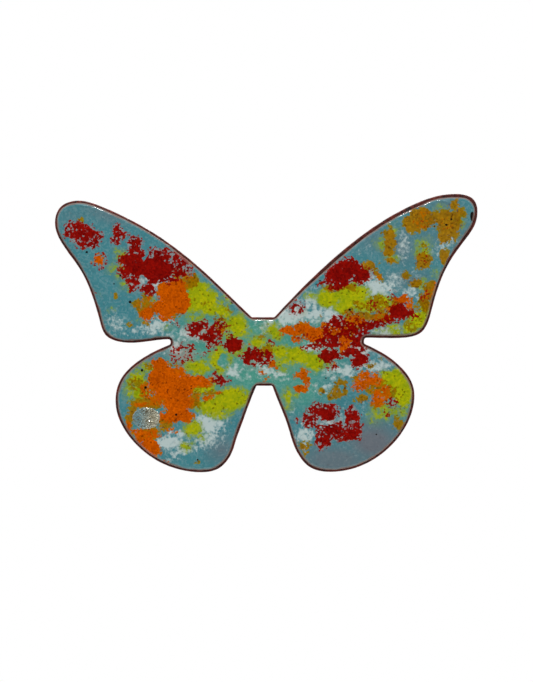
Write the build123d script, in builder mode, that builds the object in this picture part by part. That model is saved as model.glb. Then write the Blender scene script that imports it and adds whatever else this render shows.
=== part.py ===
import os

from build123d import *

# Enamelled copper butterfly brooch with a bar pin and a locking catch, in millimetres.
# Worn upright: +Z is up, the enamel face looks towards -Y and the wearer is at +Y.
# The origin lies on the axis of the pin stem, on the butterfly's centre line.

os.makedirs("parts", exist_ok=True)

# Layers through the middle of the plate, from the pin stem forwards.
stem_radius = 0.4
fabric_gap = 2.8
bar_thickness = 0.7
adhesive_thickness = 0.4
counter_thickness = 0.3
copper_thickness = 0.9
ground_thickness = 0.35
frit_thickness = 0.08

bar_back = -(stem_radius + fabric_gap)
bar_front = bar_back - bar_thickness
counter_back = bar_front - adhesive_thickness
copper_back = counter_back - counter_thickness
copper_front = copper_back - copper_thickness
ground_front = copper_front - ground_thickness
frit_front = ground_front - frit_thickness

# Dome of the plate: every layer is a shell about one centre, hollow towards the wearer.
dome_radius = 320.0
dome_reach = 8.0
dome_centre = dome_radius + copper_front

# Margins of bare copper left round the enamel, and of ground enamel left round the frit.
enamel_margin = 0.3
frit_margin = 0.7
copper_edge_round = 0.15

# Outline of the butterfly as (x, z) points, each wing from the body out and back to the body.
right_upper_wing = [(1.4, 3.25), (5.0, 7.05), (9.8, 11.6), (16.0, 16.4), (22.5, 19.85), (27.0, 20.85),
                    (29.9, 20.0), (30.35, 17.6), (28.7, 14.4), (26.5, 11.35), (24.8, 7.7), (23.85, 4.5),
                    (22.3, 1.1), (19.5, 0.3), (14.2, 0.3)]
right_lower_wing = [(14.1, -0.5), (16.3, -1.55), (19.2, -3.65), (21.1, -6.4), (21.15, -9.6), (19.4, -13.4),
                    (15.7, -16.9), (10.0, -18.75), (6.5, -18.1), (4.65, -16.0), (3.1, -11.6), (2.1, -9.1),
                    (1.1, -6.5)]
left_lower_wing = [(-1.15, -6.5), (-2.2, -9.1), (-3.1, -11.6), (-3.95, -13.9), (-4.65, -16.0), (-6.5, -18.25),
                   (-9.8, -18.8), (-15.5, -17.05), (-19.5, -13.4), (-21.2, -9.1), (-20.6, -5.85), (-18.5, -3.4),
                   (-15.2, -1.4), (-13.35, -0.6)]
left_upper_wing = [(-13.35, 0.1), (-17.0, -0.25), (-20.5, -0.28), (-22.5, 0.6), (-23.5, 2.9), (-24.5, 6.2),
                   (-26.0, 9.6), (-28.5, 13.2), (-29.9, 16.6), (-29.2, 18.9), (-27.2, 19.85), (-23.0, 18.95),
                   (-15.8, 15.25), (-9.4, 10.45), (-5.7, 7.0), (-1.8, 3.25)]
wings = [right_upper_wing, right_lower_wing, left_lower_wing, left_upper_wing]
wing_steps = 32
waist_notch_radius = 0.3
neck_radius = 0.5
tail_notch_radius = 0.7

# Frit islands as (x, z, half width, half height, tilt). A colour lies over those that come after it.
frit_islands = {
    "red_frit": [(-27.2, 15.7, 1.2, 1.3, 0), (-25.2, 14.8, 1.5, 1.4, -20), (-18.6, 11.0, 2.1, 2.0, 0),
                 (-14.9, 10.6, 2.2, 1.8, -15), (-17.4, 7.8, 1.6, 1.0, -20), (-8.6, 1.2, 2.1, 1.1, 0),
                 (-4.4, -0.6, 1.1, 1.1, 0), (-11.8, -2.0, 0.9, 0.8, 0), (-1.2, -2.7, 1.5, 0.9, 0),
                 (11.6, 9.5, 2.8, 1.7, 0), (19.2, 4.1, 1.5, 1.0, 0), (11.0, 2.0, 2.4, 1.0, 0),
                 (10.6, -0.3, 3.0, 1.5, -20), (13.2, -3.0, 1.2, 0.9, 15), (8.4, -10.5, 1.9, 1.2, 10),
                 (10.0, -13.2, 2.1, 1.2, 10), (12.3, -11.5, 1.0, 1.8, 0)],
    "orange_frit": [(-13.2, 6.7, 2.0, 1.5, 0), (-14.0, 4.5, 2.4, 1.2, 0), (-23.4, 11.3, 0.8, 0.8, 0),
                    (-14.5, -5.8, 2.7, 2.4, 0), (-12.6, -8.8, 2.6, 2.0, 0), (-12.4, -10.9, 2.1, 1.0, 0),
                    (-9.2, -5.8, 1.9, 0.8, 0), (-17.4, -13.6, 1.8, 0.9, -20), (-15.9, -15.5, 1.0, 1.2, 0),
                    (5.8, 1.0, 2.8, 1.1, 0), (5.2, -4.9, 1.0, 0.8, 0), (14.2, -6.0, 2.0, 1.1, 0),
                    (16.6, -8.2, 1.2, 1.5, -20), (19.6, 5.7, 1.2, 0.6, 0)],
    "amber_frit": [(-17.2, 5.4, 1.4, 0.7, 20), (-16.9, 2.6, 0.7, 0.8, 0), (-21.3, 6.3, 0.6, 0.6, 0),
                   (22.0, 17.2, 2.2, 1.8, 0), (26.3, 16.8, 2.2, 1.9, 0), (25.8, 14.4, 1.1, 0.8, 0),
                   (17.8, 14.9, 1.1, 1.0, 0), (17.9, 12.8, 1.1, 1.3, 0), (22.5, 11.2, 1.3, 1.2, 0),
                   (21.4, 8.1, 1.0, 0.8, 0), (16.0, 9.4, 0.8, 1.1, 20), (23.0, 5.8, 0.7, 1.3, -15),
                   (15.6, 4.7, 2.8, 1.1, 0), (10.9, -6.9, 1.1, 1.0, 0), (5.7, -15.0, 0.8, 0.6, 0)],
    "lime_frit": [(-8.9, 6.0, 2.1, 2.0, 0), (-6.6, 4.2, 1.9, 0.9, 0), (-4.0, 1.9, 1.5, 1.3, 0),
                  (-6.3, -3.0, 1.2, 1.6, 0), (-9.4, -3.9, 1.6, 0.8, 0), (1.3, 1.2, 0.9, 0.8, 0),
                  (4.6, -2.4, 3.6, 1.0, -12), (-18.2, -6.5, 0.9, 1.6, 0), (-5.9, -8.9, 3.0, 1.5, 10),
                  (-10.1, -12.9, 1.2, 1.1, 0), (9.8, 6.0, 2.0, 1.3, 0), (12.6, 6.1, 2.0, 1.4, 0),
                  (21.3, 2.4, 1.5, 1.0, 35), (19.0, -7.0, 1.5, 2.0, 0), (16.2, -10.8, 1.3, 1.0, 0)],
    "white_frit": [(-21.2, 2.7, 1.0, 1.5, 0), (-16.6, 1.2, 2.0, 0.7, 0), (-8.2, -12.0, 1.7, 1.2, 0),
                   (-13.3, -14.5, 1.7, 0.8, 0), (3.4, 3.4, 1.4, 0.8, 0), (16.4, 7.2, 1.9, 1.2, 0),
                   (19.6, 13.3, 0.9, 1.9, 0), (11.0, -4.2, 2.2, 0.7, 0), (5.6, -13.2, 0.9, 1.0, 0)],
}
foil_place = (-16.85, -11.1)
foil_half_width = 2.0
foil_half_height = 1.6

# Bar pin: bar, glue holes and the two riveted feet.
bar_length = 25.0
bar_width = 4.4
bar_edge_round = 0.15
adhesive_overhang = 0.4
glue_hole_spacing = 9.0
glue_hole_radius = 0.9
glue_plug_rise = 0.2
glue_plug_round = 0.18
tenon_radius = 0.55
tenon_flare = 0.2
tenon_flare_angle = 90
foot_thickness = 0.5
foot_back = bar_back + foot_thickness

# Hinge of the pin stem.
hinge_x = -10.2
hinge_foot_length = 3.6
hinge_foot_width = 3.4
ear_gap = 0.55
ear_thickness = 0.5
ear_radius = 1.1
ear_base_half = 1.6
rivet_radius = 0.45
rivet_head_radius = 0.75
rivet_head_height = 0.35
rivet_head_round = 0.21
eye_radius = 1.25
eye_half_thickness = 0.5
eye_hole_radius = 0.5

# Pin stem.
wire_start_x = -9.45
taper_start_x = 6.5
tip_x = 12.3
tip_radius = 0.06

# Catch housing and the locking sleeve inside it.
catch_start_x = 8.4
catch_end_x = 10.8
catch_x = (catch_start_x + catch_end_x) / 2
housing_outer_radius = 1.85
housing_inner_radius = 1.3
housing_slot = 1.3
housing_neck_width = 1.7
housing_foot_length = 3.4
housing_foot_width = 3.0
sleeve_outer_radius = 1.22
sleeve_inner_radius = 0.62
sleeve_slot = 1.1
collar_radius = 1.6
collar_length = 0.35
collar_play = 0.05
tab_length = 1.25
tab_thickness = 0.5
tab_reach = 3.1
tab_round = 0.4
corner_round = 0.4


def keep_between(front, back):
    """Cuts the part in hand down to the dome shell between two levels, given at the middle."""
    with Locations((0, dome_centre, 0)):
        Sphere(dome_centre - front, mode=Mode.INTERSECT)
        Sphere(dome_centre - back, mode=Mode.SUBTRACT)


def draw_in(wing, margin):
    """Points along a wing's edge, moved inwards. The edges run clockwise as seen from the front."""
    edge = Spline(*wing, mode=Mode.PRIVATE)
    points = []
    for step in range(wing_steps + 1):
        place = edge @ (step / wing_steps)
        heading = edge % (step / wing_steps)
        points.append((place.X + margin * heading.Y, place.Y - margin * heading.X))
    return points


def inner_outline(margin):
    """The butterfly's outline, drawn in by a margin all round."""
    with BuildSketch(Plane.XZ) as inner:
        with BuildLine():
            for wing, next_wing in zip(wings, wings[1:] + wings[:1]):
                near = draw_in(wing, margin)
                far = draw_in(next_wing, margin)
                notch = draw_in([wing[-1], next_wing[0]], margin)
                Spline(*near)
                Polyline(near[-1], notch[0], notch[-1], far[0])
        make_face()
    return inner.sketch


# Outline of the copper, and the outlines that lie inside it.
with BuildSketch(Plane.XZ) as outline:
    with BuildLine():
        for wing, next_wing in zip(wings, wings[1:] + wings[:1]):
            Spline(*wing)
            Line(wing[-1], next_wing[0])
    make_face()
    across = outline.vertices().sort_by(Axis.X)
    upwards = outline.vertices().sort_by(Axis.Z)
    fillet(across[:2] + across[-2:], waist_notch_radius)
    fillet(upwards[-2:], neck_radius)
    fillet(upwards[:2], tail_notch_radius)

enamel_outline = inner_outline(enamel_margin)
frit_outline = inner_outline(frit_margin)

with BuildSketch(Plane.XZ) as foil_outline:
    with Locations(foil_place):
        Ellipse(foil_half_width, foil_half_height)

# Sawn copper plate, domed, with its edges filed round.
with BuildPart() as copper_blank:
    extrude(outline.sketch, amount=dome_reach)
    keep_between(copper_front, copper_back)
    fillet(copper_blank.faces().filter_by(GeomType.SPHERE).edges(), copper_edge_round)
copper_blank.part.label = "copper_blank"
export_step(copper_blank.part, "parts/copper_blank.step")

# Turquoise ground coat on the front.
with BuildPart() as ground_enamel:
    extrude(enamel_outline, amount=dome_reach)
    keep_between(ground_front, copper_front)
ground_enamel.part.label = "ground_enamel"
export_step(ground_enamel.part, "parts/ground_enamel.step")

# Counter enamel on the back, which balances the pull of the front coats.
with BuildPart() as counter_enamel:
    extrude(enamel_outline, amount=dome_reach)
    keep_between(copper_back, counter_back)
counter_enamel.part.label = "counter_enamel"
export_step(counter_enamel.part, "parts/counter_enamel.step")

# Disc of crumpled silver foil, fused onto the ground coat under clear glass.
with BuildPart() as foil_paillon:
    extrude(foil_outline.sketch, amount=dome_reach)
    keep_between(frit_front, ground_front)
foil_paillon.part.label = "foil_paillon"
export_step(foil_paillon.part, "parts/foil_paillon.step")

# Coloured frits, sifted on in islands. Each colour stops where one above it begins.
covered = foil_outline.sketch
for colour, islands in frit_islands.items():
    with BuildSketch(Plane.XZ) as powder:
        for x, z, half_width, half_height, tilt in islands:
            with Locations((x, z)):
                Ellipse(half_width, half_height, rotation=tilt)
        add(covered, mode=Mode.SUBTRACT)
        add(frit_outline, mode=Mode.INTERSECT)
    with BuildPart() as frit:
        extrude(powder.sketch, amount=dome_reach)
        keep_between(frit_front, ground_front)
    frit.part.label = colour
    export_step(frit.part, f"parts/{colour}.step")
    covered = covered + powder.sketch

# Bar of the pin, with two glue holes and a countersunk hole under each foot.
with BuildPart() as pin_bar:
    with BuildSketch(Plane.XZ.offset(-bar_back)):
        SlotOverall(bar_length, bar_width)
    extrude(amount=bar_thickness)
    bar_face = pin_bar.faces().sort_by(Axis.Y)[-1]
    fillet(bar_face.edges(), bar_edge_round)
    with BuildSketch(Plane.XZ.offset(-bar_back)):
        with GridLocations(glue_hole_spacing, 0, 2, 1):
            Circle(glue_hole_radius)
    extrude(amount=bar_thickness, mode=Mode.SUBTRACT)
    for foot_x in (hinge_x, catch_x):
        with Locations(Plane(origin=(foot_x, bar_front, 0), z_dir=(0, -1, 0))):
            CounterSinkHole(tenon_radius, tenon_radius + tenon_flare, bar_thickness, tenon_flare_angle)
pin_bar.part.label = "pin_bar"
export_step(pin_bar.part, "parts/pin_bar.step")

# Epoxy between the bar and the counter enamel, which also rises through the glue holes.
with BuildPart() as adhesive_bed:
    with BuildSketch(Plane.XZ.offset(-bar_front)):
        SlotOverall(bar_length + 2 * adhesive_overhang, bar_width + 2 * adhesive_overhang)
    extrude(amount=dome_reach)
    with Locations((0, dome_centre, 0)):
        Sphere(dome_centre - counter_back, mode=Mode.INTERSECT)
    with BuildSketch(Plane.XZ.offset(-bar_back - glue_plug_rise)):
        with GridLocations(glue_hole_spacing, 0, 2, 1):
            Circle(glue_hole_radius)
    extrude(amount=bar_thickness + glue_plug_rise)
    plug_tops = adhesive_bed.faces().sort_by(Axis.Y)[-2:]
    fillet(plug_tops.edges(), glue_plug_round)
adhesive_bed.part.label = "adhesive_bed"
export_step(adhesive_bed.part, "parts/adhesive_bed.step")


def add_foot(x, length, width):
    """Adds a foot plate on the bar at x, and the peened tenon that holds it there."""
    with BuildSketch(Plane.XZ.offset(-foot_back)) as plate:
        with Locations((x, 0)):
            RectangleRounded(length, width, corner_round)
    extrude(plate.sketch, amount=foot_thickness)
    with BuildSketch(Plane.XY) as tenon:
        with BuildLine():
            Polyline(
                (x, bar_back),
                (x + tenon_radius, bar_back),
                (x + tenon_radius, bar_front + tenon_flare),
                (x + tenon_radius + tenon_flare, bar_front),
                (x, bar_front),
                close=True,
            )
        make_face()
    revolve(tenon.sketch, axis=Axis((x, 0, 0), (0, 1, 0)))


# Bracket of the hinge: a foot with two ears, drilled for the rivet.
with BuildPart() as joint_bracket:
    add_foot(hinge_x, hinge_foot_length, hinge_foot_width)
    with BuildSketch(Plane.XY.offset(ear_gap)):
        with Locations((hinge_x, 0)):
            Circle(ear_radius)
            Polygon(
                (-ear_base_half, foot_back),
                (ear_base_half, foot_back),
                (ear_radius, 0),
                (-ear_radius, 0),
                align=None,
            )
            Circle(rivet_radius, mode=Mode.SUBTRACT)
    ear = extrude(amount=ear_thickness)
    mirror(ear, about=Plane.XY)
joint_bracket.part.label = "joint_bracket"
export_step(joint_bracket.part, "parts/joint_bracket.step")

# Rivet through the ears, with a domed head at each end.
with BuildPart() as hinge_rivet:
    with BuildSketch(Plane.XZ):
        with BuildLine():
            Polyline(
                (hinge_x, 0),
                (hinge_x + rivet_radius, 0),
                (hinge_x + rivet_radius, ear_gap + ear_thickness),
                (hinge_x + rivet_head_radius, ear_gap + ear_thickness),
                (hinge_x + rivet_head_radius, ear_gap + ear_thickness + rivet_head_height),
                (hinge_x, ear_gap + ear_thickness + rivet_head_height),
                close=True,
            )
        make_face()
    revolve(axis=Axis((hinge_x, 0, 0), (0, 0, 1)))
    mirror(about=Plane.XY)
    head_tops = hinge_rivet.faces().sort_by(Axis.Z)
    fillet(head_tops[0].edges() + head_tops[-1].edges(), rivet_head_round)
hinge_rivet.part.label = "hinge_rivet"
export_step(hinge_rivet.part, "parts/hinge_rivet.step")

# Pin stem: a flat eye on the rivet, a straight wire and a ground point.
with BuildPart() as pin_stem:
    with BuildSketch(Plane.XY):
        with BuildLine():
            Polyline(
                (wire_start_x, 0),
                (wire_start_x, stem_radius),
                (taper_start_x, stem_radius),
                (tip_x - tip_radius, tip_radius),
                (tip_x, 0),
                close=True,
            )
        make_face()
    revolve(axis=Axis.X)
    with Locations((hinge_x, 0, 0)):
        Cylinder(eye_radius, 2 * eye_half_thickness)
        Cylinder(eye_hole_radius, 2 * eye_half_thickness, mode=Mode.SUBTRACT)
pin_stem.part.label = "pin_stem"
export_step(pin_stem.part, "parts/pin_stem.step")

# Catch housing: a foot and neck under an open ring, whose mouth faces the wearer.
with BuildPart() as catch_housing:
    add_foot(catch_x, housing_foot_length, housing_foot_width)
    with BuildSketch(Plane.YZ.offset(catch_start_x)):
        Circle(housing_outer_radius)
        with Locations((foot_back, 0)):
            Rectangle(-foot_back, housing_neck_width, align=(Align.MIN, Align.CENTER))
        Circle(housing_inner_radius, mode=Mode.SUBTRACT)
        Rectangle(
            housing_outer_radius,
            housing_slot,
            align=(Align.MIN, Align.CENTER),
            mode=Mode.SUBTRACT,
        )
    extrude(amount=catch_end_x - catch_start_x)
catch_housing.part.label = "catch_housing"
export_step(catch_housing.part, "parts/catch_housing.step")

# Locking sleeve, open as the pin is put on: slotted tube, a collar at each end and a thumb tab.
sleeve_start_x = catch_start_x - collar_play - collar_length
sleeve_end_x = catch_end_x + collar_play + collar_length
with BuildPart() as lock_sleeve:
    with BuildSketch(Plane.YZ.offset(sleeve_start_x)):
        Circle(sleeve_outer_radius)
    extrude(amount=sleeve_end_x - sleeve_start_x)
    for collar_x in (sleeve_start_x, sleeve_end_x - collar_length):
        with BuildSketch(Plane.YZ.offset(collar_x)):
            Circle(collar_radius)
        extrude(amount=collar_length)
    with BuildSketch(Plane.XY.offset(-sleeve_outer_radius)):
        with Locations((sleeve_end_x - collar_length, 0)):
            Rectangle(tab_length, tab_reach, align=Align.MIN)
    extrude(amount=tab_thickness)
    with BuildSketch(Plane.YZ.offset(sleeve_start_x)):
        Circle(sleeve_inner_radius)
        Rectangle(collar_radius, sleeve_slot, align=(Align.MIN, Align.CENTER))
    extrude(amount=sleeve_end_x - sleeve_start_x, mode=Mode.SUBTRACT)
    tab_corners = lock_sleeve.edges().filter_by(Axis.Z).group_by(Axis.Y)[-1]
    fillet(tab_corners, tab_round)
lock_sleeve.part.label = "lock_sleeve"
export_step(lock_sleeve.part, "parts/lock_sleeve.step")
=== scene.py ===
import math

import bmesh
import bpy
import numpy as np
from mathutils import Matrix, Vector, noise
from mathutils.geometry import delaunay_2d_cdt


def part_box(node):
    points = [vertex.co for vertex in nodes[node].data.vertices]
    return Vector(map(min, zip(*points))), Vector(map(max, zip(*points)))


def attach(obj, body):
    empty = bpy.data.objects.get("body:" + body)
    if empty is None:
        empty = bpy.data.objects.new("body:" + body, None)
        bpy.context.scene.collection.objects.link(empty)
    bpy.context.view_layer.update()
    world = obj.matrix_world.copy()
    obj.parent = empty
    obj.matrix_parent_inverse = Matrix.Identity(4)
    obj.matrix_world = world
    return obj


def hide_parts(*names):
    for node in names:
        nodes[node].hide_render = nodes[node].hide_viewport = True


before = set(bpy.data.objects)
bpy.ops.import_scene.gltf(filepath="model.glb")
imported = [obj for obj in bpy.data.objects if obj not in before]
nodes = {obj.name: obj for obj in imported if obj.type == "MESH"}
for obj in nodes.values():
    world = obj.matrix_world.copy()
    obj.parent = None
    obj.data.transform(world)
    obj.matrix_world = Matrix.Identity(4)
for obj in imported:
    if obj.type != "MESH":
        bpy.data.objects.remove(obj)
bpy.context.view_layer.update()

# Sizes are in millimetres until a mesh is made. The enamel looks towards -Y and +Z is up.
mm = 0.001


def corners(name):
    low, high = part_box(name)
    return np.array(low) / mm, np.array(high) / mm


copperFront = corners("copper_blank")[0][1]

# The plates are domed alike: each level is a sphere about one centre behind the pin.
dome = {
    "centre": 314.5,
    "counterBack": copperFront + 1.2,  # copper 0.9 and counter enamel 0.3 thick
    "copperBack": copperFront + 0.9,
    "copperFront": copperFront,
    "glassFront": corners("ground_enamel")[0][1] - 0.07,  # the fused grains stand this much over the ground
    "lap": 0.02,  # how far each coat of glass reaches into the copper
}


def domeLevel(places, level):
    radius = dome["centre"] - level
    return dome["centre"] - np.sqrt(radius ** 2 - places[:, 0] ** 2 - places[:, 1] ** 2)


def placed(name, data):
    made = bpy.data.objects.new(name, data)
    bpy.context.scene.collection.objects.link(made)
    return made


def meshPiece(name, points, faces, smooth=True):
    mesh = bpy.data.meshes.new(name)
    mesh.from_pydata((np.asarray(points, float) * mm).tolist(), [], faces)
    mesh.update()
    mesh.polygons.foreach_set("use_smooth", [smooth] * len(mesh.polygons))
    return placed(name, mesh)


def band(here, there, count):  # the faces between two rings of points, which start at these numbers
    return [[here + i, here + (i + 1) % count, there + (i + 1) % count, there + i] for i in range(count)]


def writeField(piece, label, values):  # a value for each point, which a material can read
    padded = np.zeros(len(piece.data.vertices), np.float32)
    padded[:len(values)] = values
    piece.data.attributes.new(label, "FLOAT", "POINT").data.foreach_set("value", padded)


def facesOf(piece):
    return str(len(piece.data.polygons)) + " faces"


def rising(value, start, end):  # 0 up to the start, 1 from the end on
    return np.clip((value - start) / (end - start), 0, 1)


def evenly(loop, step):
    closed = np.vstack([loop, loop[:1]])
    along = np.concatenate([[0], np.cumsum(np.hypot(*np.diff(closed, axis=0).T))])
    count = int(round(along[-1] / step))
    places = np.arange(count) * along[-1] / count
    return np.column_stack([np.interp(places, along, closed[:, k]) for k in (0, 1)])


def soften(loop, times):
    for _ in range(times):
        loop = 0.25 * np.roll(loop, 1, 0) + 0.5 * loop + 0.25 * np.roll(loop, -1, 0)
    return loop


def glassRim(step):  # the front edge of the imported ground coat, as one evenly stepped loop
    shape = bmesh.new()
    shape.from_mesh(nodes["ground_enamel"].data)
    bmesh.ops.remove_doubles(shape, verts=shape.verts, dist=1e-7)
    shape.normal_update()
    beside = {}
    for edge in shape.edges:
        if sum(face.normal.y < -0.5 for face in edge.link_faces) == 1:
            first, second = (vert.index for vert in edge.verts)
            beside.setdefault(first, []).append(second)
            beside.setdefault(second, []).append(first)
    shape.verts.ensure_lookup_table()
    walk = [min(beside, key=lambda index: shape.verts[index].co.x)]
    while True:
        ahead = [index for index in beside[walk[-1]] if index not in walk[-2:]]
        if not ahead or ahead[0] == walk[0]:
            break
        walk.append(ahead[0])
    loop = np.array([(shape.verts[index].co.x, shape.verts[index].co.z) for index in walk]) / mm
    shape.free()
    following = np.roll(loop, -1, 0)
    if np.sum(loop[:, 0] * following[:, 1] - following[:, 0] * loop[:, 1]) < 0:
        loop = loop[::-1]
    return evenly(loop, step)


def copperOutline(step):  # the upright side of the copper, in the order of the glass edge inside it
    fine = glassRim(0.05)
    places = {}
    mesh = nodes["copper_blank"].data
    for face in mesh.polygons:
        if abs(face.normal.y) < 0.02 and face.area > 1e-10:
            for index in face.vertices:
                x, _, z = mesh.vertices[index].co
                places[round(x / mm, 3), round(z / mm, 3)] = (x / mm, z / mm)
    places = np.array(list(places.values()))
    turn = np.array([np.argmin(np.hypot(*(fine - place).T)) for place in places])
    return evenly(np.array([places[turn == spot].mean(0) for spot in np.unique(turn)]), step)


def inwards(loop):
    heading = soften(np.roll(loop, -1, 0) - np.roll(loop, 1, 0), 3)
    heading /= np.hypot(*heading.T)[:, None]
    return np.column_stack([-heading[:, 1], heading[:, 0]])


batch = 2000  # places that are measured against a loop at one time


def nearest(places, loop):
    gap = np.empty(len(places))
    for first in range(0, len(places), batch):
        part = places[first:first + batch]
        away = (part[:, None, 0] - loop[None, :, 0]) ** 2 + (part[:, None, 1] - loop[None, :, 1]) ** 2
        gap[first:first + batch] = np.sqrt(away.min(1))
    return gap


def edgeGap(places, loop):  # the same for the places of a skin, which start with the loop itself
    gap = nearest(places, loop)
    gap[:len(loop)] = 0
    return gap


def rolledOver(gap, width):  # how far a rounded edge has fallen, from 0 inside to 1 at the loop
    return 1 - np.sqrt(1 - np.clip(1 - gap / width, 0, 1) ** 2)


def insideOf(places, loop):
    x0, z0 = loop.T
    x1, z1 = np.roll(loop, -1, 0).T
    rise = np.where(z1 == z0, 1e-9, z1 - z0)
    inside = np.zeros(len(places), bool)
    for first in range(0, len(places), batch):
        x, z = places[first:first + batch].T[:, :, None]
        crossed = ((z0 > z) != (z1 > z)) & (x < x0 + (x1 - x0) / rise * (z - z0))
        inside[first:first + batch] = crossed.sum(1) % 2 == 1
    return inside


def netInside(loop, step):  # staggered rows of points that keep clear of the loop
    low, high = loop.min(0), loop.max(0)
    rise = step * math.sqrt(3) / 2
    rows = np.arange(int((high[1] - low[1]) / rise) + 1)
    across = np.arange(int((high[0] - low[0]) / step) + 1)
    x = low[0] + step * (across[None] + 0.5 * (rows[:, None] % 2))
    z = low[1] + rise * rows[:, None] + 0 * x
    places = np.column_stack([x.ravel(), z.ravel()])
    places = places[insideOf(places, loop)]
    return places[nearest(places, loop) > 0.6 * step]


def roomInside(loop):  # how far rings may step inwards before they cross at an outward corner
    normals = inwards(loop)
    ahead = np.roll(normals, -1, 0)
    length = np.hypot(*(np.roll(loop, -1, 0) - loop).T)
    bend = (normals[:, 0] * ahead[:, 1] - normals[:, 1] * ahead[:, 0]) / length
    widest = np.max([np.roll(bend, shift) for shift in range(-5, 6)], 0)
    return soften(0.75 / np.maximum(widest, 0.05), 4)


def skin(loop, insets, step):  # rings from the loop inwards, and a net of triangles inside the last
    normals = inwards(loop)
    room = roomInside(loop)
    rings = [loop + np.minimum(inset, room * (1 - 0.02 * (len(insets) - k)))[:, None] * normals
             for k, inset in enumerate(insets)]
    count = len(loop)
    inner = netInside(rings[-1], step)
    border = [(i, (i + 1) % count) for i in range(count)]
    corner = [Vector(place) for place in np.vstack([rings[-1], inner])]
    found = delaunay_2d_cdt(corner, border, [], 1, 1e-6)
    source = [ids[0] for ids in found[3]]  # fails if the last ring crosses itself
    last = count * (len(insets) - 1)
    faces = [[last + source[i] for i in face] for face in found[2]]
    for here in range(0, last, count):
        faces += band(here, here + count, count)
    return np.vstack(rings + [inner]), faces


# The front and the back are each a list of ring insets and the step of the net inside them.
def closedPlate(name, loop, front, back, frontLevel, backLevel):
    frontPlaces, frontFaces = skin(loop, *front)
    backPlaces, backFaces = skin(loop, *back)
    shift = len(frontPlaces)
    faces = frontFaces + [[shift + i for i in reversed(face)] for face in backFaces]
    faces += band(shift, 0, len(loop))
    places = np.vstack([frontPlaces, backPlaces])
    levels = np.concatenate([frontLevel(frontPlaces), backLevel(backPlaces)])
    return meshPiece(name, np.column_stack([places[:, 0], levels, places[:, 1]]), faces)


def ripple(places, size, seed):  # smooth noise from -1 to 1
    return np.array([noise.noise((x / size, z / size, seed)) for x, z in places])


# Each patch is x, z, half width, half height, and perhaps a strength and a tilt in degrees.
def patchDensity(places, patches, soft):
    density = np.zeros(len(places))
    for x, z, wide, high, *more in patches:
        strength = more[0] if more else 1.0
        lean = math.radians(more[1]) if len(more) > 1 else 0.0
        dx, dz = places[:, 0] - x, places[:, 1] - z
        across = (dx * math.cos(lean) + dz * math.sin(lean)) / wide
        up = (dz * math.cos(lean) - dx * math.sin(lean)) / high
        within = (1 - np.hypot(across, up)) * math.sqrt(wide * high)
        density = np.maximum(density, strength * np.clip(0.5 + within / (2 * soft), 0, 1))
    return density


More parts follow.
